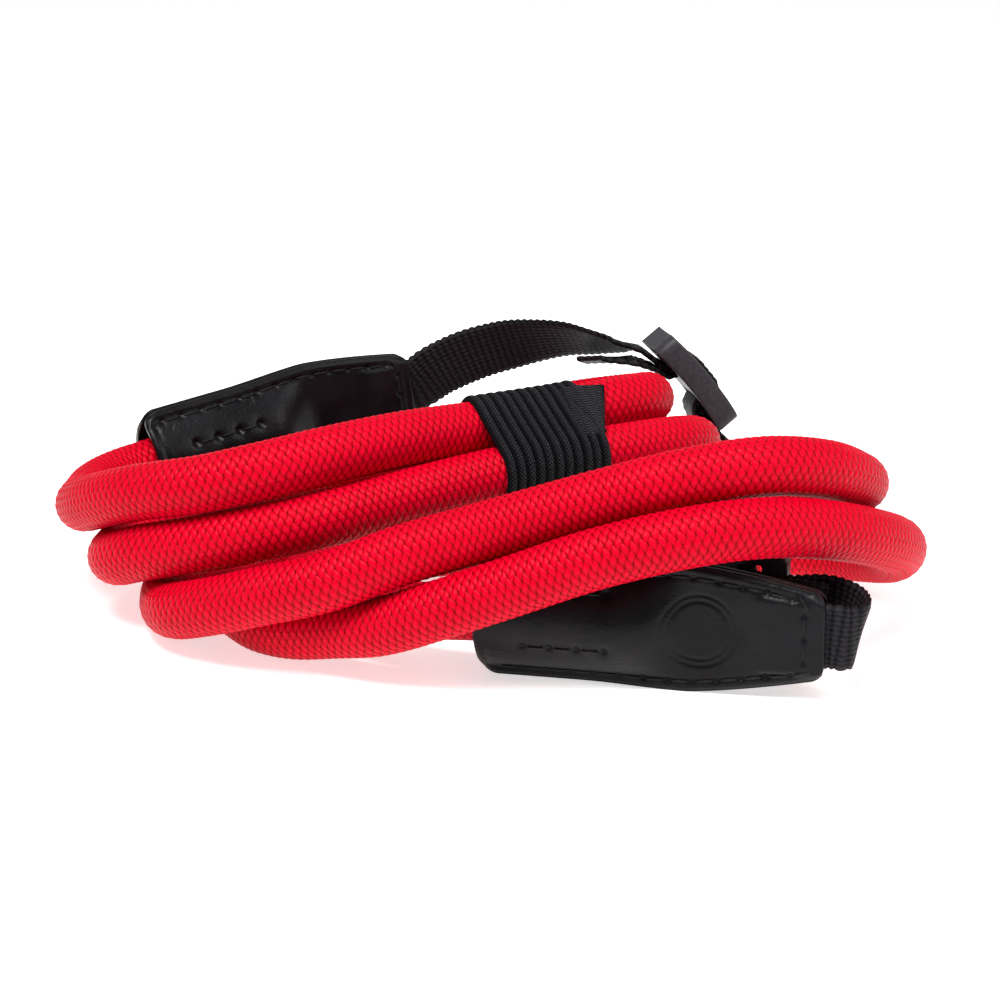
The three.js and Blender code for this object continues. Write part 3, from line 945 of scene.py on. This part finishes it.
@dataclass
class LugStrap:
    """A webbing strap from its tab, through its buckle, round the camera lug and back."""

    name: str
    tab: Place
    buckle: Place
    strand: list
    tail: list
    sign: int
    drop: float
    width: float = 11
    thickness: float = 1.2
    buckle_length: float = 21
    buckle_thickness: float = 4.6
    bar_thickness: float = 1.8
    buckle_bar: float = 4.2
    lug_reach: float = 25
    lug_radius: float = 4.5
    rib: float = 1.4
    gap: float = 0.3
    tuck: float = 7.5
    edge_scallop: float = 0.28
    face_scallop: float = 0.14

    def through_buckle(self) -> list[tuple[float, float]]:
        """Lead the strap over the bar, round the lug and back under itself.

        Returns:
            The stations on the buckle, along it and off its middle plane.
        """
        layer = self.thickness + self.gap
        slot = self.buckle_bar / 2 + self.gap + self.thickness / 2
        over = self.bar_thickness - self.buckle_thickness / 2 + self.gap + self.thickness / 2
        under = -(self.buckle_thickness + self.thickness) / 2 - self.gap
        outer, rise = slot + layer, over + layer
        end = self.buckle_length / 2 + 1
        lug = under - layer / 2
        passing = [
            (-end, under - self.drop), (-outer - 1.6, under - 0.1), (-outer - 0.2, under + 0.9),
            (-outer, 0), (-outer, over - 0.1), (1.1 - outer, rise + 0.3), (0, rise + 0.6),
            (outer - 1.1, rise + 0.3), (outer, over - 0.1), (outer, 0),
            (outer + 0.2, under + 0.9), (outer + 1.6, under - 0.1),
            (end, under - 0.1), (self.lug_reach * 0.7, under + 0.9),
        ]
        angles = math.pi / 2 - np.arange(9) / 8 * math.pi
        turning = [
            (self.lug_reach + math.cos(angle) * self.lug_radius, lug + math.sin(angle) * self.lug_radius)
            for angle in angles
        ]
        returning = [
            (self.lug_reach * 0.7, under - layer - 0.9), (end, under - layer - 0.2),
            (outer + 2.2, under - layer - 0.2),
            (slot + 0.9, under - 0.5), (slot, 0), (slot + 0.05, over - 0.6),
            (slot - 0.8, over + 0.3), (0.8 - slot, over + 0.3), (-slot - 0.05, over - 0.6),
            (-slot, 0), (-slot - 0.9, under - 0.5),
            (-outer - 2.2, under - layer - 0.2),
            (0.6 * self.drop - end, under - layer - 0.3 - 1.5 * self.drop),
        ]
        return passing + turning + returning

    def stations(self) -> tuple[np.ndarray, np.ndarray]:
        """Join the stations in the tab, on the strand, through the buckle and on the tail.

        Returns:
            The middles of the stations, and the directions across the strap there.
        """
        up = self.tab.axes()[1]
        across = self.buckle.axes()[1] * self.sign
        inside, outside = LeatherTab.length - self.tuck, LeatherTab.length + 1
        rows = [(self.tab.point(inside, 0, 0), up), (self.tab.point(outside, 0, 0), up)]
        rows += [(np.array(at, float), np.array(wide, float)) for at, wide in self.strand]
        rows += [(self.buckle.point(a, 0, off), across) for a, off in self.through_buckle()]
        rows += [(np.array(at, float), np.array(wide, float)) for at, wide in self.tail]
        return np.array([r[0] for r in rows]), np.array([r[1] for r in rows])

    def build(self, material: bpy.types.Material) -> bpy.types.Object:
        """Weave the strap: ribs stand out on both faces and scallop the edges.

        Args:
            material: The webbing.

        Returns:
            The strap.
        """
        middles, wides = self.stations()
        line, length = smooth_line(middles, self.rib / 6)
        chord = np.r_[0, np.cumsum(np.linalg.norm(np.diff(middles, axis=0), axis=1))]
        chord *= length / chord[-1]
        run = np.linspace(0, length, len(line))
        wide = np.stack([np.interp(run, chord, wides[:, k]) for k in range(3)], 1)
        forward = np.gradient(line, axis=0)
        forward /= np.linalg.norm(forward, axis=1, keepdims=True)
        wide -= forward * (wide * forward).sum(1, keepdims=True)
        wide /= np.linalg.norm(wide, axis=1, keepdims=True)
        off = np.cross(forward, wide)
        beat = np.abs(np.sin(run / self.rib * math.pi))
        share = np.linspace(-1, 1, 13)
        half = self.width / 2 - self.edge_scallop + self.edge_scallop * beat
        thick = self.thickness / 2 - self.face_scallop + self.face_scallop * beat
        edge = np.sqrt(1 - np.abs(share) ** 10 * 0.8)
        top = line[:, None] + (half[:, None] * share)[..., None] * wide[:, None]
        lift = (thick[:, None] * edge)[..., None] * off[:, None]
        grid = np.concatenate([top + lift, (top - lift)[:, ::-1]], 1)
        threads = (share + 1) * 6.5
        flat = np.stack(np.broadcast_arrays((run / self.rib)[:, None], threads[None]), -1)
        uv = np.concatenate([flat, flat[:, ::-1], flat[:, :1]], 1)
        piece = grid_piece(f"{self.name}_webbing_weave", grid, uv, material)
        return finished(piece, "webbing", f"{self.name}_webbing")


@dataclass
class Buckle:
    """A moulded triglide: a rounded frame with a bar between two slots."""

    name: str
    place: Place
    length: float = 21
    width: float = 16.5
    thickness: float = 4.6
    bar_thickness: float = 1.8
    bar: float = 4.2
    slot: float = 4
    slot_tall: float = 12.2
    rounding: float = 0.7
    corner: float = 3.2
    bow: float = 0.7

    def solid_cells(self) -> set[tuple[int, int, int]]:
        """Return the filled cells: all but the two slots and the hollow above the bar."""
        cells = {(i, k, level) for i in range(5) for k in range(3) for level in range(2)}
        return cells - {(i, 1, level) for i in (1, 3) for level in range(2)} - {(2, 1, 1)}

    def mesh(self) -> bpy.types.Mesh:
        """Make the square-edged frame out of the filled cells' outer faces.

        Returns:
            The frame, with its four upright corner edges marked for the wide bevel.
        """
        x = [-self.length / 2, -self.bar / 2 - self.slot, -self.bar / 2]
        x += [-v for v in reversed(x)]
        y = [-self.width / 2, -self.slot_tall / 2, self.slot_tall / 2, self.width / 2]
        z = [-self.thickness / 2, self.bar_thickness - self.thickness / 2, self.thickness / 2]
        points = np.array([(a, b, c) for a in x for b in y for c in z])
        points[:, 2] -= self.bow * (points[:, 0] / x[-1]) ** 2
        cells = self.solid_cells()
        faces = []
        for cell in cells:
            for axis in range(3):
                u, v = np.roll(np.eye(3, dtype=int), -axis - 1, 0)[:2]
                for step in (0, 1):
                    beyond = tuple(np.array(cell) + np.eye(3, dtype=int)[axis] * (2 * step - 1))
                    if beyond in cells:
                        continue
                    start = np.array(cell) + np.eye(3, dtype=int)[axis] * step
                    corners = [start, start + u, start + u + v, start + v]
                    faces.append([int(i * 12 + k * 3 + level) for i, k, level in corners[:: 2 * step - 1]])
        used = sorted({number for face in faces for number in face})
        order = {number: place for place, number in enumerate(used)}
        faces = sorted([order[number] for number in face] for face in faces)
        world = (self.place.point(*points[used].T) - MIDDLE) * MM
        mesh = bpy.data.meshes.new(self.name)
        mesh.from_pydata(world.tolist(), [], faces)
        upright = mesh.attributes.new("bevel_weight_edge", "FLOAT", "EDGE")
        outer = [abs(points[n, 0]) == x[-1] and abs(points[n, 1]) == y[-1] for n in used]
        for edge, weight in zip(mesh.edges, upright.data):
            weight.value = float(outer[edge.vertices[0]] and outer[edge.vertices[1]])
            a, b = (points[used[n]] for n in edge.vertices)
            weight.value *= float(a[0] == b[0] and a[1] == b[1])
        return mesh

    def build(self, material: bpy.types.Material) -> bpy.types.Object:
        """Round the frame's corners and edges and dress it.

        Args:
            material: The plastic.

        Returns:
            The buckle.
        """
        mesh = self.mesh()
        mesh.materials.append(material)
        piece = bpy.data.objects.new(f"{self.name}_moulding", mesh)
        bpy.context.scene.collection.objects.link(piece)
        bevels = (("corners", self.corner, "WEIGHT"), ("rounding", self.rounding, "ANGLE"))
        for name, width, limit in bevels:
            bevel = piece.modifiers.new(name, "BEVEL")
            bevel.width = width * MM
            bevel.segments = 4
            bevel.limit_method = limit
        bpy.context.view_layer.update()
        graph = bpy.context.evaluated_depsgraph_get()
        result = bpy.data.meshes.new_from_object(piece.evaluated_get(graph))
        piece.modifiers.clear()
        piece.data = result
        result.polygons.foreach_set("use_smooth", [True] * len(result.polygons))
        return finished(piece, "plastic", self.name)


@dataclass
class Studio:
    """Camera, pale floor and soft light."""

    camera_at: tuple = (0, -336.4, 142.2)
    look_at: tuple = (0, 25, 24.8)
    lens: float = 80.7
    floor_reach: float = 30.0
    floor_tone: float = 0.93
    floor_glow: float = 0.6
    sky_strength: float = 0.3

    def camera(self) -> None:
        """Set the camera at the photograph's viewing angle."""
        data = bpy.data.cameras.new("camera")
        data.lens = self.lens
        data.sensor_width = 36
        data.clip_start = 0.01
        camera = bpy.data.objects.new("camera", data)
        at = Vector((np.array(self.camera_at) - MIDDLE) * MM)
        to = Vector((np.array(self.look_at) - MIDDLE) * MM)
        camera.location = at
        camera.rotation_euler = (to - at).to_track_quat("-Z", "Y").to_euler()
        bpy.context.scene.collection.objects.link(camera)
        bpy.context.scene.camera = camera

    def lamp(self, name: str, at: tuple, size: float, power: float) -> None:
        """Hang a square soft lamp that points at the strap.

        Args:
            name: The lamp's name.
            at: Where it hangs, in metres.
            size: The length of its side, in metres.
            power: Its power, in watts.
        """
        data = bpy.data.lights.new(name, "AREA")
        data.size = size
        data.energy = power
        lamp = bpy.data.objects.new(name, data)
        lamp.location = at
        lamp.rotation_euler = (-Vector(at)).to_track_quat("-Z", "Y").to_euler()
        bpy.context.scene.collection.objects.link(lamp)

    def floor(self) -> None:
        """Lay a plain pale floor."""
        mesh = bpy.data.meshes.new("floor")
        reach = self.floor_reach
        corners = [(-reach, -reach, 0), (reach, -reach, 0), (reach, reach, 0), (-reach, reach, 0)]
        mesh.from_pydata(corners, [], [(0, 1, 2, 3)])
        material = bpy.data.materials.new("floor")
        material.use_nodes = True
        shader = material.node_tree.nodes["Principled BSDF"]
        shader.inputs["Base Color"].default_value = (self.floor_tone, self.floor_tone, self.floor_tone, 1)
        shader.inputs["Roughness"].default_value = 0.3
        shader.inputs["Emission Color"].default_value = (1, 1, 1, 1)
        shader.inputs["Emission Strength"].default_value = self.floor_glow
        mesh.materials.append(material)
        floor = bpy.data.objects.new("floor", mesh)
        bpy.context.scene.collection.objects.link(floor)

    def build(self) -> None:
        """Set up the studio."""
        self.camera()
        self.floor()
        world = bpy.data.worlds.new("studio")
        world.use_nodes = True
        sky = world.node_tree.nodes["Background"]
        sky.inputs["Color"].default_value = (1, 1, 1, 1)
        sky.inputs["Strength"].default_value = self.sky_strength
        bpy.context.scene.world = world
        self.lamp("key", (-0.15, -0.3, 0.8), 0.4, 11.0)
        self.lamp("fill", (0.6, -0.2, 0.5), 0.4, 2.5)
        bpy.context.scene.view_settings.view_transform = "Standard"


FRONT_STRAND = [
    ((55.2, -3.7, 10.9), (0.1, 0, 1)), ((57, -2.6, 11), (0.22, 0, 1)), ((57.6, 0.2, 11.2), (0.3, 0, 0.95)),
    ((57.3, 4, 11.3), (0.3, 0, 0.95)), ((56, 7.6, 11.3), (0.18, 0, 1)), ((53, 10.4, 11.2), (0.06, 0, 1)),
]
FRONT_TAIL = [((53.5, 6.6, 11), (0, 0, 1))]
BACK_STRAND = [
    ((-12.6, 102.7, 27.2), (0, -0.05, 1)), ((-6, 101.4, 30.6), (0, -0.09, 1)),
    ((1, 100, 33), (0, -0.24, 0.97)), ((7.4, 98, 34.6), (0, -0.51, 0.86)),
    ((13, 95.8, 35.5), (0, -0.68, 0.73)), ((18.5, 93, 35.6), (0, -0.82, 0.57)),
    ((22.6, 91, 35.5), (0, -0.9, 0.42)),
]
BACK_TAIL = [((20.8, 90.6, 32.5), (0, -0.95, 0.31)), ((16, 91.6, 32.1), (0, -0.95, 0.31))]


def main() -> None:
    """Build the studio and every piece of the strap."""
    logging.basicConfig(level=logging.INFO)
    Studio().build()
    Rope().build()
    leather, thread = LeatherFinish().make(), THREAD_FINISH.make()
    LeatherTab("front_tab", FRONT_TAB, stamped=True, row_shift=1.4).build(leather, thread)
    LeatherTab("back_tab", BACK_TAB, row_shift=-1.0).build(leather, thread)
    Whipping().build()
    weave, plastic = WebbingFinish().make(), PLASTIC_FINISH.make()
    LugStrap("front", FRONT_TAB, FRONT_BUCKLE, FRONT_STRAND, FRONT_TAIL, 1, 0.4).build(weave)
    LugStrap("back", BACK_TAB, BACK_BUCKLE, BACK_STRAND, BACK_TAIL, -1, 1.6).build(weave)
    Buckle("front_buckle", FRONT_BUCKLE).build(plastic)
    Buckle("back_buckle", BACK_BUCKLE).build(plastic)


if __name__ == "__main__":
    main()
